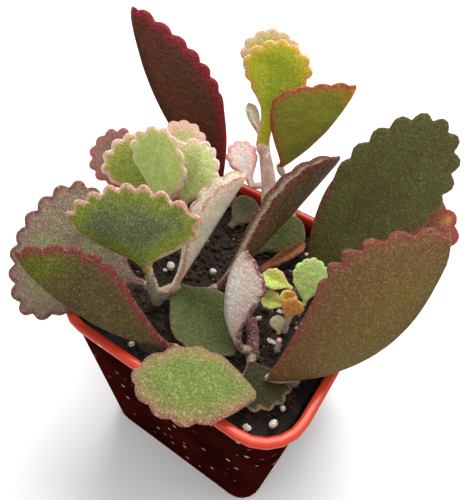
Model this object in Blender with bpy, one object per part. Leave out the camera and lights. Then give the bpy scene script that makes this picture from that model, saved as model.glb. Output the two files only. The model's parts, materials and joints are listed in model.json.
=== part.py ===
"""A clump of young scalloped-leaf succulents in a small square nursery pot.

The pot stands on Z = 0 with the centre of its base at the origin, its sides
along X and Y, +Z up.  Every plantlet is a short stem with thick felted leaves
round it; the leaves are closed lens-section solids with a scalloped edge.
All sizes are in metres; the plants are laid out in millimetres of a pot whose
rim is PLANT_RIM_MM wide and scale with the rim.
"""
import bpy
import bmesh
import numpy as np
from math import sin, cos, pi, radians, log, acos

MM = 0.001

# ---- pot ------------------------------------------------------------------
RIM_W = 64.0 * MM            # outside width of the rim
BASE_W = 53.0 * MM           # outside width of the base
POT_H = 62.0 * MM            # height of the pot
WALL = 1.0 * MM              # thickness of the moulded wall
FLOOR_T = 1.2 * MM           # thickness of the floor
BASE_EDGE = 0.5 * MM         # rounding where the wall meets the base
LIP_W = 1.2 * MM             # how far the lip stands out from the wall
LIP_H = 2.0 * MM             # height of the lip band
RIM_CORNER = 11.0 * MM       # corner radius at the rim
BASE_CORNER = 6.5 * MM       # corner radius at the base
DRAIN_D = 5.0 * MM           # diameter of a drain hole
DRAIN_OFFSET = 13.0 * MM     # hole centre from the middle, in X and in Y
CORNER_STEPS = 5             # straight pieces in each rounded corner
DRAIN_STEPS = 14             # straight pieces round a drain hole

# ---- soil -----------------------------------------------------------------
SOIL_DROP = 5.0 * MM         # soil surface below the rim
GAP = 0.3 * MM               # clearance between pieces that touch

# ---- plants ---------------------------------------------------------------
PLANT_RIM_MM = 64.0          # rim width the plant layout was measured in
LEAF_THICK = 2.0             # thickness of a grown leaf at the midrib, layout mm
SMALL_THICK = 1.4            # thickness of a young leaf
TINY_THICK = 1.0             # thickness of a bud leaf
STALK_W = 2.0                # width of a grown leaf where it leaves the stem
MID_RING = 0.8               # where the ring between midrib and margin lies
FOLD_ROOM = 0.4              # steepest fold for a blade's width, as a slope
SCALLOP_ROUND = 0.6          # below 1 makes the scallops full and the notches sharp
SCALLOP_REST = 0.65          # part of the scallop height that stands inside the outline
STEM_SIDES = 8               # straight pieces round a stem
GRAIN_SUBDIV = 1             # subdivisions of a perlite grain

P = RIM_W / PLANT_RIM_MM     # metres in one layout millimetre
RIM_Z = POT_H / P            # rim height in layout millimetres
SOIL_Z = (POT_H - SOIL_DROP) / P
GAP_MM = GAP / P


for old in list(bpy.data.objects):
    bpy.data.objects.remove(old, do_unlink=True)


# ---------------------------------------------------------------- helpers --
def material(name, colour, roughness):
    mat = bpy.data.materials.new(name)
    mat.use_nodes = True
    shader = mat.node_tree.nodes["Principled BSDF"]
    shader.inputs["Base Color"].default_value = (*colour, 1.0)
    shader.inputs["Roughness"].default_value = roughness
    return mat


def body(name, verts, faces, colour, roughness):
    """Make one closed object from metre coordinates, faces turned outward."""
    mesh = bpy.data.meshes.new(name)
    mesh.from_pydata([tuple(v) for v in verts], [], [tuple(f) for f in faces])
    bm = bmesh.new()
    bm.from_mesh(mesh)
    bmesh.ops.recalc_face_normals(bm, faces=bm.faces)
    bm.to_mesh(mesh)
    bm.free()
    obj = bpy.data.objects.new(name, mesh)
    mesh.materials.append(material("mat_" + name, colour, roughness))
    bpy.context.scene.collection.objects.link(obj)
    return obj


def square_ring(half, radius, z):
    """Points of a rounded square, anticlockwise from above."""
    ring = []
    for quarter, (sx, sy) in enumerate(((1, 1), (-1, 1), (-1, -1), (1, -1))):
        for step in range(CORNER_STEPS + 1):
            a = pi / 2 * (quarter + step / CORNER_STEPS)
            ring.append((sx * (half - radius) + radius * cos(a),
                         sy * (half - radius) + radius * sin(a), z))
    return ring


def loft(rings, closed=False):
    """Side faces between rings of equal length; caps unless the loft closes."""
    n = len(rings[0])
    verts = [p for ring in rings for p in ring]
    faces = []
    last = len(rings) if closed else len(rings) - 1
    for i in range(last):
        k = (i + 1) % len(rings)
        for j in range(n):
            m = (j + 1) % n
            faces.append((i * n + j, i * n + m, k * n + m, k * n + j))
    if not closed:
        faces.append(tuple(reversed(range(n))))
        faces.append(tuple(range((len(rings) - 1) * n, len(rings) * n)))
    return verts, faces


# -------------------------------------------------------------------- pot --
def wall_half(z):
    """Half width of the outside of the wall at height z (without the lip)."""
    return BASE_W / 2 + (RIM_W / 2 - LIP_W - BASE_W / 2) * z / POT_H


def wall_corner(z):
    return BASE_CORNER + (RIM_CORNER - LIP_W - BASE_CORNER) * z / POT_H


def make_pot():
    edge = 0.4 * LIP_W
    rim = RIM_W / 2
    rings = [
        square_ring(wall_half(0) - BASE_EDGE, BASE_CORNER - BASE_EDGE, 0),
        square_ring(wall_half(BASE_EDGE), wall_corner(BASE_EDGE), BASE_EDGE),
        square_ring(wall_half(POT_H - LIP_H), wall_corner(POT_H - LIP_H), POT_H - LIP_H),
        square_ring(rim, RIM_CORNER, POT_H - LIP_H + edge),
        square_ring(rim, RIM_CORNER, POT_H - edge),
        square_ring(rim - edge, RIM_CORNER - edge, POT_H),
        square_ring(wall_half(POT_H) - edge, wall_corner(POT_H) - edge, POT_H),
        square_ring(wall_half(POT_H) - WALL, wall_corner(POT_H) - WALL, POT_H - edge),
        square_ring(wall_half(FLOOR_T) - WALL, wall_corner(FLOOR_T) - WALL, FLOOR_T),
    ]
    verts, faces = loft(rings)
    pot = body("pot", verts, faces, (0.20, 0.05, 0.035), 0.42)
    # four drain holes through the floor
    for sx in (1, -1):
        for sy in (1, -1):
            ring = lambda z: [(sx * DRAIN_OFFSET + DRAIN_D / 2 * cos(2 * pi * k / DRAIN_STEPS),
                               sy * DRAIN_OFFSET + DRAIN_D / 2 * sin(2 * pi * k / DRAIN_STEPS), z)
                              for k in range(DRAIN_STEPS)]
            tool = body("tool", *loft([ring(-FLOOR_T), ring(2 * FLOOR_T)]),
                        (1, 1, 1), 0.5)
            cut = pot.modifiers.new("drain", "BOOLEAN")
            cut.operation = "DIFFERENCE"
            cut.solver = "EXACT"
            cut.object = tool
            bpy.context.view_layer.objects.active = pot
            bpy.ops.object.modifier_apply(modifier=cut.name)
            bpy.data.objects.remove(tool, do_unlink=True)
    return pot


def make_soil():
    """A block of compost that fills the pot up to SOIL_DROP below the rim."""
    low = FLOOR_T + GAP
    top = POT_H - SOIL_DROP
    half = lambda z: wall_half(z) - WALL - GAP
    corner = lambda z: wall_corner(z) - WALL - GAP
    verts, faces = loft([square_ring(half(low), corner(low), low),
                         square_ring(half(top), corner(top), top)])
    return body("soil", verts, faces, (0.015, 0.011, 0.009), 0.95)


# ------------------------------------------------------------------ leaf --
def leaf_outline(length, width, lobes, depth, stalk, petiole, wide, full, start, per):
    """One half of a leaf, stalk to tip: a fan on a stalk with rounded lobes.
    Each row is a margin point and, beside it, the point level with the
    notches, so that the blade inside the scallops stays smooth.

    wide: where along the blade it is widest; full: below 1 makes a blunter
    fan; start: where along the blade the scallops begin; per: points in a lobe.
    """
    power = log(0.5) / log(wide)

    def plain(s):
        y = width / 2 * sin(pi * s ** power) ** full if 0 < s < 1 else 0.0
        return length * (petiole + (1 - petiole) * s), y

    steps = np.linspace(acos(1 - 2 * start), pi, 400)
    curve = np.array([plain(s) for s in (1 - np.cos(steps)) / 2])
    curve[-1] = (length, 0)
    run = np.r_[0, np.cumsum(np.linalg.norm(np.diff(curve, axis=0), axis=1))]
    total = run[-1]
    lobe = total / (lobes / 2)
    at = lambda d: np.array((np.interp(d, run, curve[:, 0]), np.interp(d, run, curve[:, 1])))

    edge = []
    for k in range(int(total / (lobe / per) + 1e-6) + 1):
        back = k * lobe / per            # distance from the tip along the margin
        here = at(total - back)
        if k == 0:
            out = np.array((1.0, 0.0))
        else:
            along = at(min(total - back + total / 100, total)) - at(max(total - back - total / 100, 0))
            out = np.array((-along[1], along[0])) / np.hypot(*along)
            if out @ (here - (length / 2, 0)) < 0:
                out = -out
        fade = min(1.0, (total - back) / (0.35 * total) + 0.25) * depth
        rise = abs(cos(pi * back / lobe)) ** SCALLOP_ROUND - SCALLOP_REST
        (x, y), (nx, ny) = here + out * rise * fade, here - out * SCALLOP_REST * fade
        edge.append((x, max(y, 0.0) if k else 0.0, nx, max(ny, 0.0) if k else 0.0))
    edge.reverse()

    foot = [(0.0, stalk / 2)]
    if petiole > 0.02:
        foot.append((petiole * length, stalk / 2 * 1.05))
    for s in (start * 0.33, start * 0.66):
        x, y = plain(s)
        foot.append((x, max(y, stalk / 2)))
    foot = [p + p for p in foot]
    return foot + [p for p in edge if p[0] > foot[-1][0] + 0.02 * length or p[1] > foot[-1][1]]


def leaf(name, base, az, el, roll, length, width, thick=LEAF_THICK, level="rim", lobes=9,
         depth=1.2, fold=0, bend=0, stalk=STALK_W, petiole=0.1, wide=0.62, full=0.6,
         start=0.34, per=4, colour=(0.2, 0.3, 0.08)):
    """One leaf.

    base: where the leaf leaves its stem (x, y, height above the rim or the
    soil); az, el: where its tip points, compass angle from +X and angle above
    level; roll: turn about that line; fold: angle each half is raised from the
    midrib; bend: how far the blade curls over its length.  Millimetres, degrees.
    """
    half = np.array(leaf_outline(length, width, lobes, depth, stalk, petiole, wide, full,
                                 start, per))
    verts, spans, rows = [], [], []

    def add(x, y, z):
        verts.append((x, y, z))
        spans.append(reach)
        return len(verts) - 1

    def half_thick(across, x):
        root = 0.75 + 0.25 * min(1, x / (0.3 * length))
        tip = 1 - 0.35 * max(0, (x / length - 0.6) / 0.4)
        return thick / 2 * root * tip * (1 - 0.25 * across ** 2)

    count = len(half)
    for i, (x, y, nx, ny) in enumerate(half):
        foot, reach = 0.9 * nx, ny
        mx, my = foot + (nx - foot) * MID_RING, ny * MID_RING
        t0, t1 = half_thick(0, foot), half_thick(MID_RING, mx)
        up, low = {0: add(foot, 0, t0)}, {0: add(foot, 0, -t0)}
        if i == count - 1:
            up[1] = up[-1] = add(mx, 0, t1)
            low[1] = low[-1] = add(mx, 0, -t1)
            up[2] = up[-2] = low[2] = low[-2] = add(x, 0, 0)
        else:
            for side in (1, -1):
                up[side] = add(mx, side * my, t1)
                low[side] = add(mx, side * my, -t1)
                up[2 * side] = low[2 * side] = add(x, side * y, 0)
        rows.append((up, low))
    faces = []
    for (up0, low0), (up1, low1) in zip(rows, rows[1:]):
        for a, b in ((-2, -1), (-1, 0), (0, 1), (1, 2)):
            faces.append((up0[a], up1[a], up1[b], up0[b]))
            faces.append((low0[a], low0[b], low1[b], low1[a]))
    up, low = rows[0]
    faces.append((up[-2], up[-1], up[0], up[1], up[2], low[1], low[0], low[-1]))
    faces = [tuple(dict.fromkeys(f)) for f in faces]
    faces = [f for f in faces if len(f) > 2]

    # raise the two halves from the midrib, softly, and less where the blade
    # is too narrow for its thickness to fold
    x, y, z = np.array(verts).T
    steepest = np.arctan(FOLD_ROOM * np.array(spans) / (thick / 2))
    tilt = np.sign(fold) * np.minimum(abs(radians(fold)), steepest)
    soft = 0.06 * width
    out = np.sqrt(y ** 2 + soft ** 2) - soft
    side = np.sign(y) * (np.abs(y) > 1e-6)
    ny = y * np.cos(tilt) - side * z * np.sin(tilt)
    nz = out * np.sin(tilt) + z * np.where(side != 0, np.cos(tilt), 1.0)
    # curl along the length, keeping the base-to-tip line straight
    curl = radians(bend)
    if abs(curl) > 1e-4:
        a, r = curl * x / length, length / curl
        cx, cz = (r - nz) * np.sin(a), r - (r - nz) * np.cos(a)
        c, s = cos(curl / 2), sin(curl / 2)
        x, nz = cx * c + cz * s, cz * c - cx * s
    az, el, roll = radians(az), radians(el), radians(roll)
    along = np.array((cos(az) * cos(el), sin(az) * cos(el), sin(el)))
    face = np.array((-cos(az) * sin(el), -sin(az) * sin(el), cos(el)))
    face = face * cos(roll) + np.cross(face, along) * sin(roll)
    across = np.cross(face, along)
    zero = RIM_Z if level == "rim" else SOIL_Z
    points = (np.array((base[0], base[1], base[2] + zero)) + np.outer(x, along)
              + np.outer(ny, across) + np.outer(nz, face))
    return body(name, points * P, faces, colour, 0.7)


def stem(name, points, radii, colour=(0.42, 0.30, 0.22)):
    """A round stem through points (x, y, height above the rim).  It starts
    just clear of the soil, under its first point."""
    first = points[0]
    line = [np.array((first[0], first[1], SOIL_Z + GAP_MM))]
    line += [np.array((p[0], p[1], p[2] + RIM_Z)) for p in points]
    radii = (radii[0] * 1.15,) + tuple(radii)
    rings = []
    for i, (point, radius) in enumerate(zip(line, radii)):
        along = line[min(i + 1, len(line) - 1)] - line[max(i - 1, 0)]
        if i == 0:
            along = np.array((0.0, 0.0, 1.0))
        along = along / np.linalg.norm(along)
        u = np.cross(along, (0.0, 1.0, 0.0))
        u /= np.linalg.norm(u)
        v = np.cross(along, u)
        rings.append([tuple((point + radius * (u * cos(2 * pi * k / STEM_SIDES)
                                               + v * sin(2 * pi * k / STEM_SIDES))) * P)
                      for k in range(STEM_SIDES)])
    verts, faces = loft(rings)
    return body(name, verts, faces, colour, 0.8)


def perlite(name, x, y, size, squash=0.75, turn=0.0):
    """A grain of perlite lying on the soil: a lumpy, slightly flat pebble."""
    bm = bmesh.new()
    bmesh.ops.create_icosphere(bm, subdivisions=GRAIN_SUBDIV, radius=1.0)
    points = []
    for v in bm.verts:
        lump = 1 + 0.12 * sin(5 * v.co.x + turn) * cos(4 * v.co.y - turn)
        points.append(np.array(v.co) * lump * (1.0, 0.8, squash))
    faces = [[v.index for v in f.verts] for f in bm.faces]
    bm.free()
    points = np.array(points) * size / 2
    c, s = cos(radians(turn * 60)), sin(radians(turn * 60))
    points = points @ np.array(((c, s, 0), (-s, c, 0), (0, 0, 1)))
    points[:, 2] += SOIL_Z + GAP_MM - points[:, 2].min()
    points[:, :2] += (x, y)
    return body(name, points * P, faces, (0.75, 0.70, 0.58), 0.9)


make_pot()
make_soil()

# colours of the kinds of leaf
GREEN, OLIVE, DARK = (0.16, 0.25, 0.06), (0.12, 0.15, 0.04), (0.06, 0.09, 0.03)
PALE, LIME = (0.34, 0.42, 0.20), (0.38, 0.42, 0.05)
PURPLE, WINE, PINK = (0.13, 0.08, 0.07), (0.10, 0.035, 0.03), (0.55, 0.36, 0.33)
DRY = (0.22, 0.11, 0.06)

# plantlet A, front left: an upright fan, a folded leaf and a broad one behind
stem("stem_a", [(-13.6, -13.6, -3.0), (-14.1, -14.6, 2.0), (-12.6, -16.1, 7.9)], (1.5, 1.3, 1.1))
leaf("leaf_a1", (-12.4, -16.4, 9.3), 150, 64, 48, 21.8, 34.0, lobes=11, depth=1.8,
     petiole=0.16, fold=6, bend=-14, wide=0.58, full=0.7, colour=GREEN)
leaf("leaf_a2", (-0.3, -23.2, 0.3), 196, 28, -68, 40.0, 27.0, lobes=13, depth=1.3,
     petiole=0.04, fold=68, bend=44, wide=0.6, colour=OLIVE)
leaf("leaf_a3", (-15.5, -15.8, 3.4), 203, 20, 42, 30.0, 33.0, lobes=13, depth=1.6,
     petiole=0.1, bend=-10, wide=0.64, colour=PURPLE)
leaf("leaf_a4", (-10.5, -12.0, 0.6), 76, 48, 34, 33.5, 15.0, lobes=11, depth=0.8,
     fold=66, colour=PALE)
stem("stem_a2", [(1.2, -23.4, -2.4)], (1.3,))

# plantlet B, left: five upright scalloped leaves
stem("stem_b", [(-22.5, 5.5, -3.0), (-26.5, 5.8, 3.6)], (1.6, 1.3))
leaf("leaf_b1", (-28.5, 5.0, 5.0), 165, 58, 35, 20.0, 19.0, depth=1.3, petiole=0.12,
     fold=12, colour=GREEN)
leaf("leaf_b2", (-25.8, 3.0, 6.5), 95, 78, 10, 23.0, 19.0, depth=1.3, petiole=0.12,
     fold=14, colour=PALE)
leaf("leaf_b3", (-22.5, 7.5, 5.0), 82, 60, -16, 19.7, 20.0, depth=1.3, petiole=0.12,
     fold=38, colour=PALE)
leaf("leaf_b4", (-24.8, 7.6, 7.4), 117, 37, -2, 21.5, 14.0, depth=1.0, petiole=0.12,
     fold=10, colour=PALE)
leaf("leaf_b5", (-29.0, 8.5, 4.0), 177, 21, 34, 25.5, 16.0, depth=1.3, petiole=0.12,
     fold=10, bend=-20, colour=PURPLE)

# the tall dark leaf at the back
stem("stem_c", [(-19.0, 26.0, -0.6)], (1.7,))
leaf("leaf_c", (-20.6, 26.4, 1.0), 178, 53, -75, 54.0, 35.0, lobes=15, depth=1.2,
     petiole=0.04, fold=64, bend=52, wide=0.5, colour=WINE)

# plantlet D, back: a thick pale stem with upright leaves
stem("stem_d", [(-4.9, 25.4, -1.0), (-8.6, 29.4, 6.0), (-12.6, 32.2, 13.4)], (2.8, 2.2, 1.8),
     PINK)
stem("stem_d2", [(0.6, 27.6, -1.0), (-4.2, 32.2, 8.6)], (1.5, 1.2), PINK)
leaf("leaf_d1", (-13.8, 32.3, 14.6), 104, 71, -12, 27.5, 17.5, lobes=11, depth=1.0,
     petiole=0.2, stalk=3.4, fold=6, wide=0.7, full=0.75, colour=LIME)
leaf("leaf_d2", (-13.9, 34.8, 14.0), 122, 40, 1, 32.5, 17.0, lobes=11, depth=1.0,
     petiole=0.2, fold=6, wide=0.7, full=0.75, colour=LIME)
leaf("leaf_d3", (-8.1, 33.0, 10.2), 44, 56, 59, 29.5, 33.0, lobes=11, depth=0.8,
     petiole=0.05, fold=60, bend=36, wide=0.45, colour=OLIVE)
leaf("leaf_d4", (-11.6, 25.0, 6.9), 148, 33, 19, 13.4, 8.8, lobes=7, depth=0.6,
     fold=10, colour=PINK)
leaf("leaf_d5", (-16.2, 34.8, 16.4), 142, 20, 14, 11.0, 5.0, thick=SMALL_THICK, lobes=5,
     depth=0.3, fold=40, bend=40, stalk=1.2, per=2, colour=PALE)

# the long folded leaf across the middle
stem("stem_e", [(-4.2, -4.8, -2.6)], (1.6,))
leaf("leaf_e", (-3.3, -3.4, -2.0), 73, 32, 37, 45.0, 17.5, lobes=11, depth=0.6,
     petiole=0.06, fold=72, bend=8, colour=DARK)

# plantlet F, middle front: a hooked leaf and a low saddle-shaped one
stem("stem_f", [(13.4, -12.6, -2.0), (9.0, -6.5, -0.5)], (1.5, 1.3), (0.16, 0.05, 0.05))
leaf("leaf_f1", (11.8, -15.0, 0.0), 122, 41, -98, 24.0, 19.0, depth=0.6, petiole=0.06,
     fold=60, bend=78, colour=PURPLE)
leaf("leaf_f2", (-10.6, -10.2, -0.9), 344, -2, -14, 22.5, 17.0, lobes=7, depth=0.5,
     petiole=0.02, fold=24, bend=16, wide=0.5, full=0.72, stalk=4.5, colour=DARK)

# plantlet G: a rosette of tiny leaves
stem("stem_g", [(16.2, -2.6, -1.0), (16.2, -0.4, 2.0), (15.4, 1.4, 4.6)], (0.8, 0.7, 0.5), PINK)
stem("stem_g2", [(17.4, -8.2, 0.4)], (0.6,), PINK)
leaf("leaf_g1", (14.2, 1.6, 6.3), 198, 22, 41, 8.0, 6.0, thick=TINY_THICK, lobes=7,
     depth=0.5, fold=30, stalk=1.0, per=2, colour=LIME)
leaf("leaf_g2", (15.2, -1.2, 3.0), 195, 13, 39, 7.2, 5.5, thick=TINY_THICK, lobes=7,
     depth=0.4, fold=30, stalk=1.0, per=2, colour=LIME)
leaf("leaf_g3", (15.3, -0.6, 4.0), 196, 61, 52, 4.6, 5.0, thick=TINY_THICK, lobes=5,
     depth=0.3, fold=30, stalk=1.0, per=2, colour=LIME)
leaf("leaf_g4", (16.3, -4.0, 3.0), 73, 70, -35, 6.4, 6.0, thick=TINY_THICK, lobes=7,
     depth=0.4, fold=20, stalk=1.0, per=2, colour=LIME)
leaf("leaf_g5", (16.7, -7.4, 1.0), 136, 44, 10, 4.3, 4.0, thick=TINY_THICK, lobes=5,
     depth=0.1, fold=10, stalk=1.0, per=2, colour=PALE)
leaf("leaf_g6", (17.9, 1.8, 2.2), 111, 57, -6, 12.0, 9.0, thick=TINY_THICK, depth=0.6,
     fold=8, stalk=1.0, colour=PALE)

# plantlet H, right: the two big leaves and a red one between them
stem("stem_h1", [(14.4, 9.8, -0.6)], (2.0,))
leaf("leaf_h1", (14.7, 11.5, 1.0), 64, 53, -46, 46.5, 26.0, lobes=11, depth=2.2,
     petiole=0.02, fold=6, wide=0.6, full=0.46, start=0.5, colour=DARK)
leaf("leaf_h3", (17.0, 12.4, -0.8), 55, 19, -36, 39.0, 20.0, depth=1.6, petiole=0.05,
     fold=20, colour=WINE)
stem("stem_h2", [(24.2, -12.8, -2.0)], (1.4,))
leaf("leaf_h2", (20.0, -17.5, 0.0), 62, 36, 74, 52.0, 46.0, lobes=13, depth=2.4,
     petiole=0.02, fold=58, bend=84, wide=0.6, full=0.4, start=0.36, colour=PURPLE)

# leaves lying over the front rim
leaf("leaf_i1", (20.3, -23.6, 2.6), 206, 4, 0, 25.5, 17.5, depth=1.0, petiole=0.02,
     fold=-8, bend=-24, wide=0.52, start=0.2, colour=GREEN)
leaf("leaf_i2", (14.4, -15.2, -3.0), 322, 4, 0, 12.0, 13.0, lobes=7, depth=1.0,
     petiole=0.02, bend=-16, colour=DARK)

# small leaves low in the middle, one of them dry
leaf("leaf_k1", (-2.6, 13.4, 1.1), 63, 18, -33, 16.0, 12.0, thick=SMALL_THICK, level="soil",
     lobes=5, depth=0.2, fold=8, colour=GREEN)
leaf("leaf_k2", (-13.0, 17.4, 1.1), 82, 21, -26, 11.0, 9.0, thick=SMALL_THICK, level="soil",
     lobes=5, depth=0.2, fold=8, colour=DARK)
leaf("leaf_k3", (2.0, 9.2, 1.1), 66, 11, -33, 15.0, 6.0, thick=SMALL_THICK, level="soil",
     lobes=5, depth=0.2, fold=70, colour=DRY)

# perlite grains lying on the soil
perlite("perlite_1", 21.5, -27.6, 2.4, turn=0.4)
perlite("perlite_2", 25.6, -23.8, 2.6, turn=1.3)
perlite("perlite_3", 25.4, -19.6, 1.9, turn=2.1)
perlite("perlite_4", -2.0, -27.4, 3.0, turn=2.9)
perlite("perlite_5", -10.6, -26.6, 2.0, turn=3.7)
perlite("perlite_6", -19.6, -26.6, 1.8, turn=4.6)
perlite("perlite_7", -17.4, -3.6, 3.4, turn=5.2)
perlite("perlite_8", -7.6, 1.6, 2.6, turn=6.1)
perlite("perlite_9", 9.6, -3.6, 2.0, turn=7.3)
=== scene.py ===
# %% [markdown]
# # A felted succulent in a nursery pot
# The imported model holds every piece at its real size: pot, compost, stems,
# thick scalloped leaves and grains of perlite.  They are plain cages.  This
# lesson turns each cage into the living thing: a smooth leaf with a felt of
# short hairs, a thin dark pot with a bright glossy lip, and crumbly compost.

import json
import math
import random

import bmesh
import bpy
import numpy as np
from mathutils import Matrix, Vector
from mathutils.kdtree import KDTree


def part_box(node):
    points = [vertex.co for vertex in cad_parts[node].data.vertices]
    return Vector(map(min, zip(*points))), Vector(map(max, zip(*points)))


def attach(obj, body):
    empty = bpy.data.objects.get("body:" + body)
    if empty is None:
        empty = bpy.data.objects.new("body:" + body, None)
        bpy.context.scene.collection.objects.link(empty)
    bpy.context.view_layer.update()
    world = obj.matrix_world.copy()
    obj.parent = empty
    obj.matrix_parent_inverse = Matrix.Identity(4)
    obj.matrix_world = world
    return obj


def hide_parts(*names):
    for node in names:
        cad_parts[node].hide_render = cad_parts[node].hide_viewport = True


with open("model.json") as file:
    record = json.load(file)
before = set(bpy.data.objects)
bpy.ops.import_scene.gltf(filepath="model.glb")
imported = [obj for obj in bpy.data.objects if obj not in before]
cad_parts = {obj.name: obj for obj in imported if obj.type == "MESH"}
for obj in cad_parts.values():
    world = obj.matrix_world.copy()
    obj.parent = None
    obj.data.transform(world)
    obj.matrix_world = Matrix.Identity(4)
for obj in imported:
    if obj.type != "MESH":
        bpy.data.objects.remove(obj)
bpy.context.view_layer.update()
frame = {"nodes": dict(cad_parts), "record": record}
NODES = frame["nodes"]
SLOTS = {s["node"]: s["material_slot"] for s in frame["record"]["subparts"]}
MM = 0.001

# %% [markdown]
# ## Camera
# The pot is looked down on from in front of its near corner.  A fixed lens
# and a camera close by give the strong perspective of a phone held over a
# shelf.  The camera is placed from the rim of the pot, so it follows the pot.

# %% Camera
AIM_AZ, AIM_EL, AIM_ROLL = 29.8, 49.07, 5.08      # degrees
AIM_DISTANCE = 124.9 * MM
LENS, SENSOR = 34.56, 36.0                        # millimetres on the sensor's long side

pot_low, pot_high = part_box("pot")
rim_middle = Vector(((pot_low.x + pot_high.x) / 2, (pot_low.y + pot_high.y) / 2, pot_high.z))
aim_point = rim_middle + Vector((-5.61, 8.18, 0.0)) * MM

az, el, roll = (math.radians(v) for v in (AIM_AZ, AIM_EL, AIM_ROLL))
back = Vector((math.sin(az) * math.cos(el), -math.cos(az) * math.cos(el), math.sin(el)))
level = Vector((math.cos(az), math.sin(az), 0.0))
upward = back.cross(level)
right = level * math.cos(roll) + upward * math.sin(roll)
upward = back.cross(right)

bpy.ops.object.camera_add(location=aim_point + back * AIM_DISTANCE)
camera = bpy.context.object
camera.name = "camera"
camera.data.lens, camera.data.sensor_width = LENS, SENSOR
camera.data.clip_start = 0.005
turn = camera.rotation_euler.to_matrix()
for column, axis in enumerate((right, upward, back)):
    for row in range(3):
        turn[row][column] = axis[row]
camera.rotation_euler = turn.to_euler()
bpy.context.scene.camera = camera
print("camera at, mm:", [round(v / MM, 1) for v in camera.location])

# %% [markdown]
# ## Light and floor
# Soft daylight from a large window behind and to the left, weaker lamps from
# the side and the front, and a pale floor and sky that lift the shadows.

# %% Light and floor
def area_light(name, azimuth, elevation, distance, size, power, colour=(1, 1, 1)):
    a, e = math.radians(azimuth), math.radians(elevation)
    way = Vector((math.sin(a) * math.cos(e), -math.cos(a) * math.cos(e), math.sin(e)))
    bpy.ops.object.light_add(type="AREA", location=aim_point + way * distance)
    lamp = bpy.context.object
    lamp.name = name
    lamp.data.shape, lamp.data.size = "DISK", size
    lamp.data.energy, lamp.data.color = power, colour
    lamp.rotation_euler = way.to_track_quat("Z", "Y").to_euler()


area_light("window", 196.0, 62.0, 0.60, 0.42, 4.3, (1.0, 0.985, 0.95))
area_light("side", 118.0, 38.0, 0.60, 0.30, 0.7)
area_light("fill", 350.0, 66.0, 0.70, 0.50, 1.1)

world = bpy.data.worlds.new("soft sky")
world.use_nodes = True
world.node_tree.nodes["Background"].inputs["Color"].default_value = (1.0, 1.0, 1.0, 1.0)
world.node_tree.nodes["Background"].inputs["Strength"].default_value = 0.6
bpy.context.scene.world = world
bpy.context.scene.view_settings.view_transform = "Standard"

bpy.ops.mesh.primitive_plane_add(size=3.0, location=(0, 0, 0))
floor = bpy.context.object
floor.name = "floor"
paper = bpy.data.materials.new("white paper")
paper.use_nodes = True
paper.node_tree.nodes["Principled BSDF"].inputs["Base Color"].default_value = (0.84, 0.84, 0.84, 1.0)
paper.node_tree.nodes["Principled BSDF"].inputs["Roughness"].default_value = 0.9
floor.data.materials.append(paper)

# %% [markdown]
# ## Writing shader maths
# A procedural finish is a graph of nodes.  Written out, a graph is hard to
# read, so one small class wraps a socket: adding or multiplying two wrapped
# sockets adds the Math node that does it.

# %% A socket that does arithmetic
class Value:
    """A socket of one material; arithmetic on it adds Math nodes."""

    def __init__(self, tree, socket):
        self.tree, self.socket = tree, socket

    def node(self, kind, settings=None, out=0, **sockets):
        """Add any node: its settings first, then values or links by socket name or number."""
        new = self.tree.nodes.new("ShaderNode" + kind)
        for key, value in (settings or {}).items():
            setattr(new, key, value)
        for key, value in sockets.items():
            key = int(key[1:]) if key[0] == "_" else key.replace("_", " ")
            target = new.inputs[key]
            if isinstance(value, Value):
                self.tree.links.new(value.socket, target)
            elif hasattr(target.default_value, "__len__") and len(value) < len(target.default_value):
                target.default_value = (*value, 1.0)
            else:
                target.default_value = value
        return Value(self.tree, new.outputs[out])

    def math(self, operation, *values):
        sockets = {f"_{i}": v for i, v in enumerate(values)}
        return self.node("Math", {"operation": operation}, **sockets)

    def __add__(self, other):
        return self.math("ADD", self, other)

    def __sub__(self, other):
        return self.math("SUBTRACT", self, other)

    def __rsub__(self, other):
        return self.math("SUBTRACT", other, self)

    def __mul__(self, other):
        return self.math("MULTIPLY", self, other)

    def __truediv__(self, other):
        return self.math("DIVIDE", self, other)

    __radd__, __rmul__ = __add__, __mul__

    def step(self, low, high):
        """0 below low, 1 above high, smooth between (either way round)."""
        return self.node("MapRange", {"interpolation_type": "SMOOTHSTEP"},
                         Value=self, From_Min=low, From_Max=high)

    def mix(self, a, b):
        """Colour a where this value is 0, colour b where it is 1."""
        return self.node("Mix", {"data_type": "RGBA"}, out=2, _0=self, _6=a, _7=b)


def finish(name, **constants):
    """A new material: its surface shader, and a Value to build from."""
    mat = bpy.data.materials.new(name)
    mat.use_nodes = True
    shader = mat.node_tree.nodes["Principled BSDF"]
    for key, value in constants.items():
        target = shader.inputs[key.replace("_", " ")]
        target.default_value = (*value, 1.0) if hasattr(value, "__len__") else value
    return mat, shader, Value(mat.node_tree, None)


def wire(shader, **sockets):
    for key, value in sockets.items():
        value.tree.links.new(value.socket, shader.inputs[key.replace("_", " ")])


def noise(v, place, scale, detail=3.0, roughness=0.55):
    return v.node("TexNoise", Vector=place, Scale=scale, Detail=detail, Roughness=roughness)


def bump(v, height, distance, strength=1.0):
    return v.node("Bump", Height=height, Distance=distance, Strength=strength)


def srgb(r, g, b):
    """A screen colour 0..255 as the linear numbers a shader wants."""
    return tuple(((c / 255 + 0.055) / 1.055) ** 2.4 if c > 10 else c / 255 / 12.92
                 for c in (r, g, b))

# %% [markdown]
# ## From cage to leaf
# A real leaf of this kind is as thick as a coin, rounded at its edge, with
# full scallops and a sharp notch between each pair.  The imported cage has
# eight rails from stalk to tip: two along the scalloped edge, two along the
# midrib and four between.  We copy the cage, find those rails, take out the
# diagonals so that only clean quads are left, pinch the notches with a
# crease, and let Subdivision Surface round it all.

# %% Helpers for picking things
def deselect():
    if bpy.context.object and bpy.context.object.mode != "OBJECT":
        bpy.ops.object.mode_set(mode="OBJECT")
    bpy.ops.object.select_all(action="DESELECT")


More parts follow.
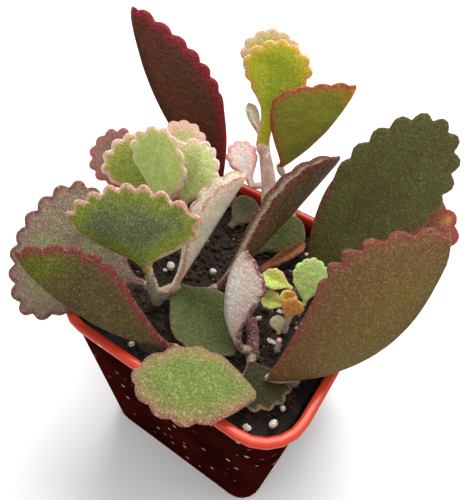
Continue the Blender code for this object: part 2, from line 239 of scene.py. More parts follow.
def pick(obj):
    deselect()
    obj.select_set(True)
    bpy.context.view_layer.objects.active = obj
    return obj


def copy_node(node, name):
    """A copy of a CAD node with a mesh of its own, its doubles merged."""
    piece = bpy.data.objects.new(name, NODES[node].data.copy())
    bpy.context.scene.collection.objects.link(piece)
    piece.data.materials.clear()
    pick(piece)
    bpy.ops.object.mode_set(mode="EDIT")
    bpy.ops.mesh.select_all(action="SELECT")
    bpy.ops.mesh.remove_doubles(threshold=1e-6)
    bpy.ops.object.mode_set(mode="OBJECT")
    return piece


def apply_modifier(obj, kind, **settings):
    pick(obj)
    bpy.ops.object.modifier_add(type=kind)
    modifier = obj.modifiers[-1]
    for key, value in settings.items():
        setattr(modifier, key, value)
    bpy.ops.object.modifier_apply(modifier=modifier.name)


# %% Find the rails of a leaf cage
RAILS = 8


def ring_order(verts, faces):
    """Put verts in order round the border of a set of faces."""
    verts = set(verts)
    start = min(verts, key=lambda v: v.index)
    order, last = [start], None
    while len(order) < len(verts):
        here = order[-1]
        for edge in here.link_edges:
            other = edge.other_vert(here)
            inside = sum(f in faces for f in edge.link_faces)
            if other in verts and other is not last and other not in order and inside == 1:
                break
        else:
            raise RuntimeError("the rails of a leaf can't be followed")
        last = here
        order.append(other)
    return order


def stalk_end(bm):
    """The flat faces at the cut end of the stalk: six triangles on eight corners."""
    best = None
    for face in bm.faces:
        group, queue = {face}, [face]
        while queue:
            for edge in queue.pop().edges:
                for near in edge.link_faces:
                    if near not in group and near.normal.dot(face.normal) > 0.9999:
                        group.add(near)
                        queue.append(near)
        corners = {v for f in group for v in f.verts}
        if len(group) == RAILS - 2 and len(corners) == RAILS:
            middle = sum((v.co for v in corners), Vector()) / RAILS
            size = max((v.co - middle).length for v in corners)
            if best is None or size < best[0]:
                best = (size, group, corners)
    return best[1], best[2]


def leaf_rows(bm):
    """Rows of eight vertices from stalk to tip, rail by rail, and the last few vertices."""
    seen, corners = stalk_end(bm)
    seen = set(seen)
    rows = [ring_order(corners, seen)]
    while True:
        row = rows[-1]
        ring = {f for v in row for f in v.link_faces} - seen
        ahead = {v for f in ring for v in f.verts} - set(row)
        seen |= ring
        if len(ahead) != RAILS:
            return rows, ahead
        ahead = ring_order(ahead, seen)
        turns = [[ahead[(s + way * k) % RAILS] for k in range(RAILS)]
                 for s in range(RAILS) for way in (1, -1)]
        rows.append(min(turns, key=lambda t: sum((a.co - b.co).length for a, b in zip(row, t))))


def edge_rail(rows):
    """The number of the rail that runs along the scallops: it is the longest pair."""
    def length(rail):
        return sum((a[rail].co - b[rail].co).length for a, b in zip(rows, rows[1:]))
    return max(range(RAILS // 2), key=lambda r: length(r) + length(r + RAILS // 2))


# %% Make one leaf
NOTCH_PINCH = 0.7            # crease of a notch between scallops
RIB_PINCH = 0.72             # crease of the fold along the midrib
RIM_PINCH = 0.5              # crease along the edge, which keeps the scallops full
END_PINCH = 0.7              # crease round a cut end, which keeps its length
NOTCH_SIGN = 0.10 * MM       # how far in a vertex must lie to be a notch


def make_leaf(node, levels=2, pucker=0.25 * MM):
    piece = copy_node(node, "felted_" + node)
    bpy.ops.object.mode_set(mode="EDIT")
    bm = bmesh.from_edit_mesh(piece.data)
    edge_mark, along, inner, crease = (bm.verts.layers.float.new(n)
                                       for n in ("edge", "along", "inner", "crease_vert"))
    fold = bm.edges.layers.float.new("crease_edge")
    bm.normal_update()
    rows, tip = leaf_rows(bm)
    # a triangle that reaches over two rows ends the walk, and the rest has no rails
    left = len(bm.verts) - RAILS * len(rows) - len(tip)
    if left:
        print(node, "is railed for", len(rows), "rows only;", left, "vertices are not")
    rim = edge_rail(rows)
    rail_of = {v: k for row in rows for k, v in enumerate(row)}
    row_of = {v: i for i, row in enumerate(rows) for v in row}
    tip_point = max(tip, key=lambda v: (v.co - rows[0][0].co).length)

    # which face of the leaf is the inner one: the side the edges lean towards
    middle_rails = ((rim + 2) % RAILS, (rim + 6) % RAILS)
    lean = 0.0
    for row in rows:
        a, b = (row[k].co for k in middle_rails)
        edges = (row[rim].co + row[(rim + 4) % RAILS].co) / 2
        lean += (edges - (a + b) / 2).dot(a - b)
    inner_rail = middle_rails[0] if lean > 0 else middle_rails[1]

    for v in tip:
        v[along] = 1.0
    tip_point[edge_mark] = 1.0
    for i, row in enumerate(rows):
        for k, v in enumerate(row):
            v[along] = i / len(rows)
            v[edge_mark] = 1.0 if (k - rim) % (RAILS // 2) == 0 else 0.0
            gap = min((k - inner_rail) % RAILS, (inner_rail - k) % RAILS)
            v[inner] = 1.0 - gap / 2
    for side in (rim, (rim + 4) % RAILS):
        for a, b, c in zip(rows, rows[1:], rows[2:]):
            heart = b[inner_rail].co
            dip = ((a[side].co + c[side].co) / 2 - heart).length - (b[side].co - heart).length
            if dip > NOTCH_SIGN:
                b[side][crease] = NOTCH_PINCH

    for edge in bm.edges:
        rails = [rail_of.get(v) for v in edge.verts]
        if all(row_of.get(v) == 0 for v in edge.verts):
            edge[fold] = END_PINCH
        if rails[0] is not None and rails[0] == rails[1]:
            if rails[0] in middle_rails:
                edge[fold] = RIB_PINCH
            elif rails[0] % (RAILS // 2) == rim % (RAILS // 2):
                edge[fold] = RIM_PINCH

    # only edges along a rail or round a row stay
    bpy.ops.mesh.select_all(action="DESELECT")
    bpy.ops.mesh.select_mode(type="EDGE")
    for edge in bm.edges:
        a, b = edge.verts
        if a in rail_of and b in rail_of:
            if row_of[a] == row_of[b]:
                wrong = (rail_of[a] - rail_of[b]) % RAILS not in (1, RAILS - 1)
            else:
                wrong = rail_of[a] != rail_of[b]
            if wrong:
                edge.select = True
    bmesh.update_edit_mesh(piece.data)
    bpy.ops.mesh.dissolve_edges(use_verts=False)
    bpy.ops.object.mode_set(mode="OBJECT")

    apply_modifier(piece, "SUBSURF", levels=levels, render_levels=levels)
    apply_modifier(piece, "DISPLACE", texture=PUCKER, texture_coords="LOCAL",
                   strength=pucker, mid_level=0.5)
    bpy.ops.object.shade_smooth()
    measure_rim(piece)
    return piece


def measure_rim(piece):
    """Store how far each vertex is from the scalloped edge, in millimetres."""
    mesh = piece.data
    count = len(mesh.vertices)
    mark, place = np.zeros(count), np.zeros(count * 3)
    mesh.attributes["edge"].data.foreach_get("value", mark)
    mesh.vertices.foreach_get("co", place)
    place = place.reshape(-1, 3)
    border = np.nonzero(mark > 0.999)[0]
    tree = KDTree(len(border))
    for i in border:
        tree.insert(place[i], int(i))
    tree.balance()
    away = np.array([tree.find(p)[2] for p in place]) / MM
    mesh.attributes.new("rim", "FLOAT", "POINT").data.foreach_set("value", away)


PUCKER = bpy.data.textures.new("pucker", "CLOUDS")
PUCKER.noise_scale = 0.007
PUCKER.noise_depth = 1

# %% [markdown]
# ## The felted skin
# The skin is green inside, flushed yellow-green near the edge, and stained
# pink to wine-red on the scallops, where strong light reaches it.  Over that
# lies a felt of very short silvery hairs, seen as a fine frost of grains,
# thickest on young leaves and along the edge.  The finish reads the distance
# to the scalloped edge that was stored on the mesh, so that the stain follows
# every scallop, and Object coordinates for everything else.

# %% Leaf finish
GRAIN = 2500.0               # felt grains across a metre
PATCH = 150.0                # cloudy patches across a metre


def leaf_finish(name, heart, flush, stain, frost, flush_mm=5.0, stain_mm=1.0, frosting=0.35,
                cloud=None, cloud_mix=0.6, inside=None, tip=None, tip_from=0.75, thin=0.1):
    mat, shader, v = finish(name, Specular_IOR_Level=0.16, Subsurface_Weight=thin,
                            Subsurface_Scale=0.002 + 0.004 * thin)
    place = v.node("TexCoord", out="Object")
    rim = v.node("Attribute", {"attribute_name": "rim"}, out="Fac")
    along = v.node("Attribute", {"attribute_name": "along"}, out="Fac")
    patches = noise(v, place, PATCH, 3.0)
    mottle = noise(v, place, PATCH * 6, 4.0, 0.65)
    grain = noise(v, place, GRAIN, 2.0, 0.75)
    fleck = noise(v, place, GRAIN * 0.45, 2.0, 0.6)

    green = (patches.step(0.40, 0.62) * cloud_mix).mix(heart, cloud or tuple(c * 0.7 for c in heart))
    edge_wander = rim + (patches - 0.5) * 6.0
    colour = edge_wander.step(flush_mm, flush_mm * 0.1).mix(green, flush)
    if inside:
        side = v.node("Attribute", {"attribute_name": "inner"}, out="Fac")
        colour = side.step(0.05, 0.5).mix(colour, inside)
    if tip:
        colour = (along + (patches - 0.5) * 0.4).step(tip_from - 0.15, tip_from + 0.2).mix(colour, tip)
    colour = (mottle.step(0.42, 0.66) * 0.35).mix(colour, tuple(c * 0.6 for c in heart))
    worn = rim + (mottle - 0.5) * 2.2
    colour = worn.step(stain_mm * 1.5, stain_mm * 0.4).mix(colour, stain)
    hairs = grain.step(0.50, 0.64) * fleck.step(0.40, 0.56)
    near_edge = rim.step(0.9, 0.0)
    colour = (hairs * frosting * 0.75 + near_edge * hairs * 0.4).mix(colour, frost)
    colour = (grain.step(0.50, 0.34) * 0.5).mix(colour, tuple(c * 0.3 for c in heart))
    wire(shader, Base_Color=colour, Roughness=mottle * 0.3 + 0.35,
         Normal=bump(v, grain * 0.6 + fleck * 0.5 + mottle * 2.0, 0.0004, 0.8))
    return mat


# %% [markdown]
# Each leaf has colours of its own: old leaves are dark green to brown-purple,
# leaves in shade grey-green, and young ones pale or lime.  Some of them also
# hold painted light and painted shade, noted at each leaf.

# %% Leaf colours
WHITE_FELT = srgb(234, 228, 196)
PINK_FELT = srgb(216, 172, 156)
GREY_FELT = srgb(178, 160, 128)

LEAF_LOOKS = {
    "leaf_a1": dict(thin=0.25, heart=srgb(112, 120, 74), flush=srgb(134, 152, 16), stain=srgb(216, 164, 146),
                    frost=WHITE_FELT, cloud=srgb(92, 104, 66), flush_mm=6, stain_mm=0.9),
    "leaf_a2": dict(heart=srgb(84, 70, 30), flush=srgb(84, 68, 28), stain=srgb(112, 44, 44),
                    frost=GREY_FELT, tip=srgb(92, 98, 2), tip_from=0.62, stain_mm=1.7,
                    flush_mm=3, frosting=0.3),
    "leaf_a3": dict(heart=srgb(134, 138, 92), flush=srgb(134, 108, 96), stain=srgb(106, 62, 52),
                    frost=srgb(206, 186, 170), frosting=0.5, cloud=srgb(136, 110, 98),
                    cloud_mix=0.9, flush_mm=6),
    # leaf_a4: its near-white is partly its own pale green-pink and partly painted light, lifted to make up
    # for the shade it lies in
    "leaf_a4": dict(thin=0.55, heart=srgb(238, 236, 208), flush=srgb(240, 232, 208),
                    stain=srgb(204, 146, 132),
                    frost=srgb(250, 246, 230), frosting=0.5, stain_mm=0.7),
    "leaf_b1": dict(thin=0.55, heart=srgb(158, 174, 66), flush=srgb(166, 178, 76), stain=srgb(234, 194, 182),
                    frost=WHITE_FELT, stain_mm=1.0),
    "leaf_b2": dict(thin=0.55, heart=srgb(208, 236, 134), flush=srgb(200, 226, 120),
                    stain=srgb(242, 208, 200),
                    frost=WHITE_FELT, stain_mm=0.9),
    "leaf_b3": dict(thin=0.55, heart=srgb(228, 242, 168), flush=srgb(226, 236, 166),
                    stain=srgb(244, 206, 200),
                    frost=WHITE_FELT, stain_mm=1.0, frosting=0.4),
    "leaf_b4": dict(thin=0.55, heart=srgb(198, 198, 126), flush=srgb(220, 180, 152),
                    stain=srgb(234, 176, 164),
                    frost=WHITE_FELT, stain_mm=1.3),
    "leaf_b5": dict(heart=srgb(134, 108, 92), flush=srgb(146, 100, 92), stain=srgb(156, 88, 86),
                    frost=PINK_FELT, stain_mm=1.2),
    # leaf_c: its dark brown is partly its own red-brown and partly painted shade, for the shaded face of a
    # backlit leaf
    "leaf_c": dict(heart=srgb(86, 42, 24), flush=srgb(96, 34, 30), stain=srgb(126, 24, 40),
                   frost=srgb(158, 100, 84), frosting=0.22, cloud=srgb(70, 48, 20), stain_mm=1.9,
                   flush_mm=6),
    "leaf_d1": dict(thin=0.55, heart=srgb(182, 200, 40), flush=srgb(192, 204, 48), stain=srgb(224, 172, 116),
                    frost=WHITE_FELT, stain_mm=0.7, frosting=0.25),
    "leaf_d2": dict(thin=0.3, heart=srgb(180, 178, 84), flush=srgb(182, 164, 110), stain=srgb(202, 166, 146),
                    frost=WHITE_FELT, stain_mm=0.9),
    "leaf_d3": dict(thin=0.25, heart=srgb(152, 152, 50), flush=srgb(164, 118, 52), stain=srgb(164, 66, 46),
                    frost=GREY_FELT, stain_mm=0.9, tip=srgb(190, 146, 44), tip_from=0.8,
                    flush_mm=3, frosting=0.25),
    # leaf_d4: its near-white is partly its own pale pink and partly a painted highlight, for a sunlit,
    # washed-out leaf
    "leaf_d4": dict(thin=0.55, heart=srgb(252, 242, 236), flush=srgb(242, 208, 200),
                    stain=srgb(222, 156, 150),
                    frost=srgb(255, 250, 240), frosting=0.55),
    "leaf_d5": dict(heart=srgb(190, 190, 160), flush=srgb(196, 182, 156), stain=srgb(150, 128, 112),
                    frost=WHITE_FELT, frosting=0.6),
    "leaf_e": dict(thin=0.1, heart=srgb(92, 74, 32), flush=srgb(104, 66, 40), stain=srgb(98, 42, 42),
                   frost=srgb(196, 172, 150), inside=srgb(168, 158, 128), stain_mm=1.1,
                   frosting=0.35),
    "leaf_f1": dict(thin=0.25, heart=srgb(204, 194, 182), flush=srgb(190, 160, 150), stain=srgb(104, 42, 42),
                    frost=srgb(240, 232, 222), frosting=0.55, inside=srgb(84, 34, 32),
                    stain_mm=0.9),
    # leaf_f2: its dark green is partly its own colour and partly painted shade, for a leaf lying in shade
    "leaf_f2": dict(heart=srgb(76, 88, 42), flush=srgb(84, 92, 50), stain=srgb(104, 86, 62),
                    frost=srgb(168, 166, 128), frosting=0.3, stain_mm=0.6),
    "leaf_g1": dict(thin=0.55, heart=srgb(244, 252, 126), flush=srgb(248, 248, 146),
                    stain=srgb(244, 206, 130),
                    frost=WHITE_FELT, flush_mm=1.5, stain_mm=0.4),
    "leaf_g2": dict(thin=0.55, heart=srgb(240, 246, 128), flush=srgb(236, 230, 120),
                    stain=srgb(240, 204, 132),
                    frost=WHITE_FELT, flush_mm=1.5, stain_mm=0.4),
    "leaf_g3": dict(thin=0.55, heart=srgb(232, 214, 88), flush=srgb(238, 206, 100),
                    stain=srgb(240, 186, 112),
                    frost=WHITE_FELT, flush_mm=1.5, stain_mm=0.4),
    "leaf_g4": dict(thin=0.55, heart=srgb(226, 180, 70), flush=srgb(236, 184, 84), stain=srgb(236, 156, 92),
                    frost=WHITE_FELT, flush_mm=1.5, stain_mm=0.4),
    "leaf_g5": dict(heart=srgb(176, 176, 136), flush=srgb(176, 164, 124), stain=srgb(190, 156, 130),
                    frost=WHITE_FELT, flush_mm=1.2, stain_mm=0.3),
    "leaf_g6": dict(thin=0.55, heart=srgb(212, 244, 146), flush=srgb(220, 248, 158),
                    stain=srgb(226, 236, 160),
                    frost=WHITE_FELT, flush_mm=2.0, stain_mm=0.5),
    "leaf_h1": dict(heart=srgb(90, 92, 42), flush=srgb(94, 76, 36), stain=srgb(112, 56, 50),
                    frost=srgb(176, 164, 118), frosting=0.26, cloud=srgb(84, 72, 32),
                    stain_mm=0.8, flush_mm=3),
    "leaf_h2": dict(heart=srgb(112, 94, 32), flush=srgb(110, 78, 44), stain=srgb(122, 60, 52),
                    frost=srgb(190, 162, 126), frosting=0.32, cloud=srgb(112, 80, 46),
                    inside=srgb(160, 112, 96), stain_mm=1.3, flush_mm=12),
    "leaf_h3": dict(heart=srgb(128, 66, 54), flush=srgb(130, 58, 50), stain=srgb(138, 48, 48),
                    frost=GREY_FELT, stain_mm=1.4, tip=srgb(206, 150, 56), tip_from=0.95),
    "leaf_i1": dict(thin=0.25, heart=srgb(110, 130, 52), flush=srgb(146, 124, 82), stain=srgb(142, 92, 82),
                    frost=WHITE_FELT, frosting=0.3, stain_mm=0.9, flush_mm=5),
    "leaf_i2": dict(heart=srgb(40, 43, 14), flush=srgb(52, 48, 24), stain=srgb(128, 108, 84),
                    frost=srgb(128, 124, 92), frosting=0.25, stain_mm=0.7),
    "leaf_k1": dict(heart=srgb(100, 112, 60), flush=srgb(104, 108, 62), stain=srgb(128, 104, 84),
                    frost=GREY_FELT, stain_mm=0.5),
    "leaf_k2": dict(heart=srgb(108, 114, 84), flush=srgb(104, 98, 76), stain=srgb(128, 92, 84),
                    frost=GREY_FELT, stain_mm=0.5),
    "leaf_k3": dict(heart=srgb(160, 104, 64), flush=srgb(166, 100, 60), stain=srgb(130, 72, 46),
                    frost=PINK_FELT, stain_mm=0.6),
}

# %% [markdown]
# ## Hairs
# Seen close, the frost is a coat of short stiff hairs that stand off the
# skin.  They give the silhouette its pale fuzz.  Nobody would place tens of
# thousands of hairs by hand, so this part is counted out instead:
# points spread evenly over the skin by area, and on each point a closed
# three-sided spike that leans a little to one side.

# %% A coat of hairs
HAIR_TALL, HAIR_WIDE = 0.42 * MM, 0.055 * MM


def add_hairs(piece, per_mm2, colour, tall=1.0, seed=1):
    """Grow hairs over a piece and join them to it, with a finish of their own."""
    mesh = piece.data
    mesh.calc_loop_triangles()
    corners = np.array([t.vertices[:] for t in mesh.loop_triangles])
    place = np.zeros(len(mesh.vertices) * 3)
    mesh.vertices.foreach_get("co", place)
    a, b, c = (place.reshape(-1, 3)[corners[:, k]] for k in range(3))
    normal = np.cross(b - a, c - a)
    area = np.linalg.norm(normal, axis=1) / 2
    rng = np.random.default_rng(seed)
    count = int(area.sum() / MM ** 2 * per_mm2)
    on = rng.choice(len(area), count, p=area / area.sum())
    u, w = rng.random((2, count))
    flip = u + w > 1
    u[flip], w[flip] = 1 - u[flip], 1 - w[flip]
    root = a[on] + (b - a)[on] * u[:, None] + (c - a)[on] * w[:, None]
    up = normal[on] / (2 * area[on][:, None])
    lean = up + rng.normal(0, 0.45, (count, 3))
    lean /= np.linalg.norm(lean, axis=1)[:, None]
    length = HAIR_TALL * tall * rng.uniform(0.45, 1.25, count)[:, None]
    side = np.cross(lean, (0.3, 0.5, 0.8))
    side /= np.linalg.norm(side, axis=1)[:, None]
    other = np.cross(lean, side)
    points = [root - up * 0.05 * MM + HAIR_WIDE * (side * math.cos(t) + other * math.sin(t)) / 2
              for t in (0, 2 * math.pi / 3, 4 * math.pi / 3)] + [root + lean * length]
    points = np.stack(points, 1).reshape(-1, 3)
    spike = np.array(((0, 1, 3), (1, 2, 3), (2, 0, 3), (0, 2, 1)))
    faces = (spike[None] + 4 * np.arange(count)[:, None, None]).reshape(-1, 3)
    coat = bpy.data.meshes.new("hairs")
    coat.from_pydata(points, [], faces)
    hairs = bpy.data.objects.new("hairs", coat)
    bpy.context.scene.collection.objects.link(hairs)
    mat, shader, v = finish("hairs_" + piece.name, Roughness=0.8, Subsurface_Weight=0.2,
                            Subsurface_Scale=0.0005, Specular_IOR_Level=0.3)
    shade = noise(v, v.node("TexCoord", out="Object"), GRAIN)
    wire(shader, Base_Color=shade.mix(tuple(0.6 * c for c in colour), colour))
    coat.materials.append(mat)
    pick(piece)
    hairs.select_set(True)
    bpy.ops.object.join()
    return count


# %% Make every leaf
leaves = {}
total_hairs = 0
for number, (node, look) in enumerate(LEAF_LOOKS.items()):
    piece = make_leaf(node)
    piece.data.materials.append(leaf_finish("skin_" + node, **look))
    thick = look.get("frosting", 0.35)
    total_hairs += add_hairs(piece, 2.2 + 4.0 * thick, look["frost"], 0.6 + 0.8 * thick, number)
    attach(piece, "root")
    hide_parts(node)
    leaves[node] = piece
print(len(leaves), "leaves,", total_hairs, "hairs,",
      sum(len(p.data.polygons) for p in leaves.values()), "faces")

# %% [markdown]
# ## Stems
# The stems are short, thick and covered in the same felt, pink where light
# reaches them.  The cage is an eight-sided tube; Subdivision Surface rounds
# it and a cloud texture makes it a little knobbly.

# %% Stems
CUT_ANGLE = 1.0              # radians: an edge that turns more than this rims a cut end


def round_off(node, name, levels, knobs, size):
    piece = copy_node(node, name)
    bpy.ops.object.mode_set(mode="EDIT")
    bm = bmesh.from_edit_mesh(piece.data)
    crease = bm.edges.layers.float.new("crease_edge")
    for edge in bm.edges:
        if edge.calc_face_angle(0.0) > CUT_ANGLE:
            edge[crease] = END_PINCH
    bmesh.update_edit_mesh(piece.data)
    bpy.ops.object.mode_set(mode="OBJECT")
    apply_modifier(piece, "SUBSURF", levels=levels, render_levels=levels)
    texture = bpy.data.textures.new(name, "CLOUDS")
    texture.noise_scale = size
    apply_modifier(piece, "DISPLACE", texture=texture, texture_coords="LOCAL",
                   strength=knobs, mid_level=0.5)
    bpy.ops.object.shade_smooth()
    return piece


STEM_COLOURS = {"stem": (srgb(148, 124, 108), srgb(172, 152, 128)),
                "stem_pink": (srgb(212, 158, 150), srgb(230, 210, 194)),
                "stem_red": (srgb(110, 44, 44), srgb(86, 34, 36))}


def stem_finish(name, young, old):
    mat, shader, v = finish(name, Sheen_Weight=0.2, Sheen_Roughness=0.5, Subsurface_Weight=0.15,
                            Subsurface_Scale=0.002)
    place = v.node("TexCoord", out="Object")
    patches, grain = noise(v, place, 260.0, 3.0), noise(v, place, GRAIN, 2.0, 0.7)
    colour = patches.step(0.4, 0.62).mix(young, old)
    colour = (grain.step(0.52, 0.66) * 0.45).mix(colour, WHITE_FELT)
    colour = (grain.step(0.46, 0.32) * 0.5).mix(colour, tuple(c * 0.3 for c in young))
    wire(shader, Base_Color=colour, Roughness=patches * 0.3 + 0.5,
         Normal=bump(v, grain + patches * 2, 0.0003))
    return mat


stem_mats = {slot: stem_finish("skin_" + slot, *pair) for slot, pair in STEM_COLOURS.items()}
for number, node in enumerate(n for n in NODES if n.startswith("stem_")):
    piece = round_off(node, "felted_" + node, 2, 0.35 * MM, 0.0022)
    piece.data.materials.append(stem_mats[SLOTS[node]])
    add_hairs(piece, 5.0, WHITE_FELT if SLOTS[node] != "stem_red" else PINK_FELT, 1.2, 100 + number)
    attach(piece, "root")
    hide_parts(node)

# %% [markdown]
# Where a leaf leaves its stem the base is swollen and wraps the stem a
# little.  A collar runs from the cut end of a leaf to the nearest stem, or
# down to the compost where no stem is near.  A leaf too far from both gets
# none, and neither do the tiny ones.

# %% Collars
COLLAR_REACH = 6.0 * MM      # where stems are further away, the compost may be nearer
COLLAR_LONGEST = 9.0 * MM
COLLAR_THINNEST, COLLAR_THICKEST = 0.5 * MM, 1.7 * MM
COLLAR_SWELL = 1.1           # how much wider a collar is than the cut end
STEM_SIDE = 1.5 * MM         # stem points this much further than the nearest count too
TINY_PLANTLETS = "gk"
collar_slots = {"leaf_d1": "stem_pink", "leaf_d2": "stem_pink", "leaf_d4": "stem_pink"}
stem_points = np.array([NODES[n].matrix_world @ v.co for n in NODES if n.startswith("stem_")
                        for v in NODES[n].data.vertices])
compost_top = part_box("soil")[1].z


def collar(node, start, end, radius):
    """A swollen felted joint from start to end, as wide as radius in the middle."""
    way = end - start
    deselect()
    bpy.ops.mesh.primitive_uv_sphere_add(segments=14, ring_count=10, radius=1.0)
    piece = bpy.context.object
    piece.name = "collar_" + node
    long = way.length / 2 + radius * 0.9
    turn = way.to_track_quat("Z", "Y").to_matrix() if way.length > 1e-6 else None
    for v in piece.data.vertices:
        point = Vector((v.co.x * radius, v.co.y * radius, v.co.z * long))
        v.co = (turn @ point if turn else point) + (start + end) / 2
    apply_modifier(piece, "DISPLACE", texture=PUCKER, texture_coords="LOCAL",
                   strength=0.5 * MM, mid_level=0.5)
    bpy.ops.object.shade_smooth()
    piece.data.materials.append(stem_mats[collar_slots.get(node, "stem")])
    add_hairs(piece, 5.0, WHITE_FELT, 1.2, len(node))
    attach(piece, "root")


collars = 0
for node in (n for n in LEAF_LOOKS if n.split("_")[1][0] not in TINY_PLANTLETS):
    mesh = leaves[node].data
    marks = np.zeros(len(mesh.vertices))
    mesh.attributes["along"].data.foreach_get("value", marks)
    spots = np.zeros(len(mesh.vertices) * 3)
    mesh.vertices.foreach_get("co", spots)
    edge_gap = np.zeros(len(mesh.vertices))
    mesh.attributes["rim"].data.foreach_get("value", edge_gap)
    base = (marks < 1e-4) & (edge_gap > 0)      # hairs have an edge gap of nought
    end = spots.reshape(-1, 3)[base]
    if not len(end):
        continue
    start = Vector(end.mean(axis=0))
    thick = float(np.linalg.norm(end - end.mean(axis=0), axis=1).max())
    near = np.linalg.norm(stem_points - np.array(start), axis=1)
    goal = Vector(stem_points[near < near.min() + STEM_SIDE].mean(axis=0))
    down = Vector((start.x, start.y, compost_top))
    if near.min() > COLLAR_REACH and (down - start).length < COLLAR_REACH:
        goal = down
    if (goal - start).length < COLLAR_LONGEST:
        radius = min(max(thick * COLLAR_SWELL, COLLAR_THINNEST), COLLAR_THICKEST)
        collar(node, start, goal, radius)
        collars += 1
print(collars, "collars")

# %% [markdown]
# ## Pot
# A thin-walled injection-moulded nursery pot: deep maroon, a little scuffed
# and dusty, and glossy only along its lip.  Near the top there is no compost
# behind the thin wall, and the daylight that shines through it is painted into
# the colour: a painted orange-red band, brightest on the lip.  Below it the
# wall, with the wet compost behind it, is dark maroon, almost black.

# %% Pot
pot = copy_node("pot", "moulded_pot")
apply_modifier(pot, "BEVEL", width=0.22 * MM, segments=2, limit_method="ANGLE",
               angle_limit=math.radians(40))
bpy.ops.object.shade_smooth_by_angle(angle=math.radians(35))

mat, shader, v = finish("maroon_plastic", Coat_Roughness=0.14, Specular_IOR_Level=0.0)
place = v.node("TexCoord", out="Object")
height = v.node("SeparateXYZ", out=2, Vector=place) / MM
pot_top = pot_high.z / MM
clouds = noise(v, place, 60.0, 3.0)
scuffs = noise(v, place, 420.0, 5.0, 0.7)
specks = v.node("TexVoronoi", {"feature": "F1"}, out="Distance", Vector=place, Scale=420.0)
which = v.node("TexVoronoi", {"feature": "F1"}, out="Color", Vector=place, Scale=420.0)
pick_speck = v.node("SeparateXYZ", out=0, Vector=which)
fine = noise(v, place, 2400.0, 2.0)
colour = clouds.step(0.35, 0.7).mix(srgb(34, 7, 4), srgb(54, 12, 8))
# painted light: an orange-red band near the top, for daylight shining through the thin plastic above the
# compost
painted_glow_band = (height + (clouds - 0.5) * 1.5).step(pot_top - 7.5, pot_top - 3.0)
colour = painted_glow_band.mix(colour, srgb(120, 28, 17))
# painted light: the lip is painted bright orange-red for sunlight shining through and falling on it; the
# same mask gives the lip its real coat of gloss
lip = (height + (clouds - 0.5) * 0.4).step(pot_top - 2.6, pot_top - 1.7)
colour = lip.mix(colour, srgb(196, 62, 40))
foot = height.step(3.5, 0.5)
colour = (foot * 0.6).mix(colour, srgb(110, 28, 18))
dust = scuffs.step(0.56, 0.76) * 0.025 + fine.step(0.6, 0.8) * 0.015
colour = dust.mix(colour, srgb(170, 150, 135))
spots = specks.step(0.32, 0.16) * pick_speck.step(0.84, 0.90)
colour = (spots * 0.75).mix(colour, srgb(196, 182, 164))
wire(shader, Base_Color=colour, Roughness=scuffs * 0.35 + spots * 0.4 + 0.12,
     Coat_Weight=lip * 0.5,
     Normal=bump(v, scuffs + fine * 0.3 + spots * 2, 0.00008, 0.5))
pot.data.materials.append(mat)
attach(pot, "root")
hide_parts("pot")

# %% [markdown]
# ## Compost
# The compost is wet peat with bark crumbs, fibres and perlite dust.  The
# block is remeshed into small even faces, and only its top is roughened,
# so that it never pushes through the wall.  Crumbs and fibres are scattered
# over it, as a handful thrown down would land.

# %% Compost block
soil_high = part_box("soil")[1]
soil = copy_node("soil", "compost")
apply_modifier(soil, "REMESH", mode="VOXEL", voxel_size=0.75 * MM)
top_group = soil.vertex_groups.new(name="top")
reach = soil_high.x - 2.5 * MM
top = [p.index for p in soil.data.vertices if p.co.z > soil_high.z - 0.6 * MM
       and max(abs(p.co.x), abs(p.co.y)) < reach]
top_group.add(top, 1.0, "REPLACE")
for name, size, strong in (("heaps", 0.009, 1.6), ("lumps", 0.0032, 1.5), ("crumble", 0.0013, 0.9)):
    texture = bpy.data.textures.new(name, "CLOUDS")
    texture.noise_scale = size
    texture.noise_depth = 2
    apply_modifier(soil, "DISPLACE", texture=texture, texture_coords="LOCAL", direction="Z",
                   strength=strong * MM, mid_level=0.62, vertex_group="top")
bpy.ops.object.shade_smooth()


def peat_finish(name, dark, light, fleck_colour, fleck_part):
    mat, shader, v = finish(name, Specular_IOR_Level=0.4)
    place = v.node("TexCoord", out="Object")
    lumps, grain = noise(v, place, 500.0, 4.0, 0.7), noise(v, place, 2200.0, 3.0, 0.7)
    colour = lumps.step(0.38, 0.68).mix(dark, light)
    colour = grain.step(fleck_part, fleck_part + 0.08).mix(colour, fleck_colour)
    wire(shader, Base_Color=colour, Roughness=lumps * 0.5 + 0.45,
         Normal=bump(v, grain + lumps * 2, 0.0006))
    return mat


soil.data.materials.append(peat_finish("peat", srgb(20, 13, 10), srgb(50, 34, 25),
                                       srgb(112, 88, 68), 0.66))
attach(soil, "root")
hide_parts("soil")

# %% Crumbs and fibres
DROP_FROM = 20 * MM          # height above the compost that things fall from


def surface_height(x, y):
    above = Vector((x, y, soil_high.z + DROP_FROM))
    hit, point = soil.ray_cast(above, Vector((0, 0, -1)))[:2]
    return point.z if hit else soil_high.z


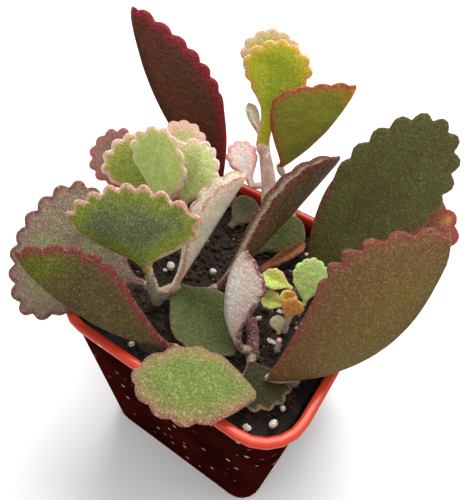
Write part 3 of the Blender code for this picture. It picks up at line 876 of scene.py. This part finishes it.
def scatter(name, count, size, squash, seed, mat, levels=1):
    """Drop a number of lumpy bits on the compost and join them into one piece."""
    rng = random.Random(seed)
    bm = bmesh.new()
    for _ in range(count):
        reach = soil_high.x - 2.2 * MM
        x, y = rng.uniform(-reach, reach), rng.uniform(-reach, reach)
        if abs(x) + abs(y) > 1.72 * reach:
            continue
        radius = rng.uniform(*size) * MM / 2
        new = bmesh.ops.create_icosphere(bm, subdivisions=levels, radius=radius)["verts"]
        stretch = Vector((rng.uniform(0.8, 1.5), rng.uniform(0.6, 1.1), rng.uniform(*squash)))
        turn = Vector((0, 0, 1)).rotation_difference(
            Vector((rng.uniform(-0.6, 0.6), rng.uniform(-0.6, 0.6), 1))).to_matrix()
        z = surface_height(x, y) + radius * 0.35
        for p in new:
            bumpy = 1 + rng.uniform(-0.22, 0.22)
            p.co = turn @ (Vector(a * b for a, b in zip(p.co, stretch)) * bumpy) + Vector((x, y, z))
    mesh = bpy.data.meshes.new(name)
    bm.to_mesh(mesh)
    bm.free()
    piece = bpy.data.objects.new(name, mesh)
    bpy.context.scene.collection.objects.link(piece)
    mesh.materials.append(mat)
    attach(piece, "root")
    return piece


crumbs = scatter("bark_crumbs", 1500, (0.5, 2.2), (0.4, 0.9), 3,
                 peat_finish("bark", srgb(26, 17, 13), srgb(70, 48, 34), srgb(130, 100, 74), 0.64))
chips = scatter("pale_chips", 160, (0.3, 1.1), (0.5, 0.9), 8,
                peat_finish("chip", srgb(120, 102, 82), srgb(196, 182, 154), srgb(216, 206, 184), 0.55))

rng = random.Random(5)
verts, faces = [], []
for _ in range(260):
    reach = soil_high.x - 3.5 * MM
    x, y = rng.uniform(-reach, reach), rng.uniform(-reach, reach)
    heading, thick, links = rng.uniform(0, 6.28), rng.uniform(0.04, 0.12) * MM, rng.randint(4, 8)
    start = len(verts)
    for link in range(links + 1):
        z = surface_height(x, y) + (0.15 + 0.5 * math.sin(math.pi * link / links)) * MM
        for k in range(4):
            a = math.pi / 2 * k
            across = Vector((-math.sin(heading), math.cos(heading), 0)) * math.cos(a)
            verts.append(Vector((x, y, z)) + (across + Vector((0, 0, math.sin(a)))) * thick)
        heading += rng.uniform(-0.5, 0.5)
        x, y = x + 0.7 * MM * math.cos(heading), y + 0.7 * MM * math.sin(heading)
        x, y = max(-reach, min(reach, x)), max(-reach, min(reach, y))
    for link in range(links):
        for k in range(4):
            p, q = start + 4 * link + k, start + 4 * link + (k + 1) % 4
            faces.append((p, q, q + 4, p + 4))
    faces.append(tuple(start + k for k in (3, 2, 1, 0)))
    faces.append(tuple(start + 4 * links + k for k in range(4)))
mesh = bpy.data.meshes.new("fibres")
mesh.from_pydata(verts, [], faces)
fibres = bpy.data.objects.new("fibres", mesh)
bpy.context.scene.collection.objects.link(fibres)
mesh.materials.append(peat_finish("fibre", srgb(60, 40, 28), srgb(110, 80, 56), srgb(150, 120, 90), 0.6))
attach(fibres, "root")
print(len(crumbs.data.polygons), "crumb faces,", len(fibres.data.polygons), "fibre faces")

# %% [markdown]
# ## Perlite
# Popped volcanic glass: rough cream-white pebbles, full of pits, stained a
# little by the peat.

# %% Perlite
mat, shader, v = finish("perlite_grain", Subsurface_Weight=0.2, Subsurface_Scale=0.002)
place = v.node("TexCoord", out="Object")
pits = v.node("TexVoronoi", {"feature": "F1"}, out="Distance", Vector=place, Scale=2600.0)
stains = noise(v, place, 700.0, 4.0, 0.7)
colour = stains.step(0.45, 0.72).mix(srgb(232, 226, 208), srgb(176, 156, 128))
colour = (pits.step(0.30, 0.12) * 0.5).mix(colour, srgb(120, 104, 86))
wire(shader, Base_Color=colour, Roughness=stains * 0.4 + 0.5,
     Normal=bump(v, pits + stains, 0.0004))
grit = scatter("perlite_grit", 34, (1.2, 2.6), (0.6, 0.9), 21, mat, levels=2)
for node in (n for n in NODES if n.startswith("perlite_")):
    piece = round_off(node, "pitted_" + node, 3, 0.5 * MM, 0.0007)
    piece.data.materials.append(mat)
    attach(piece, "root")
    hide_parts(node)
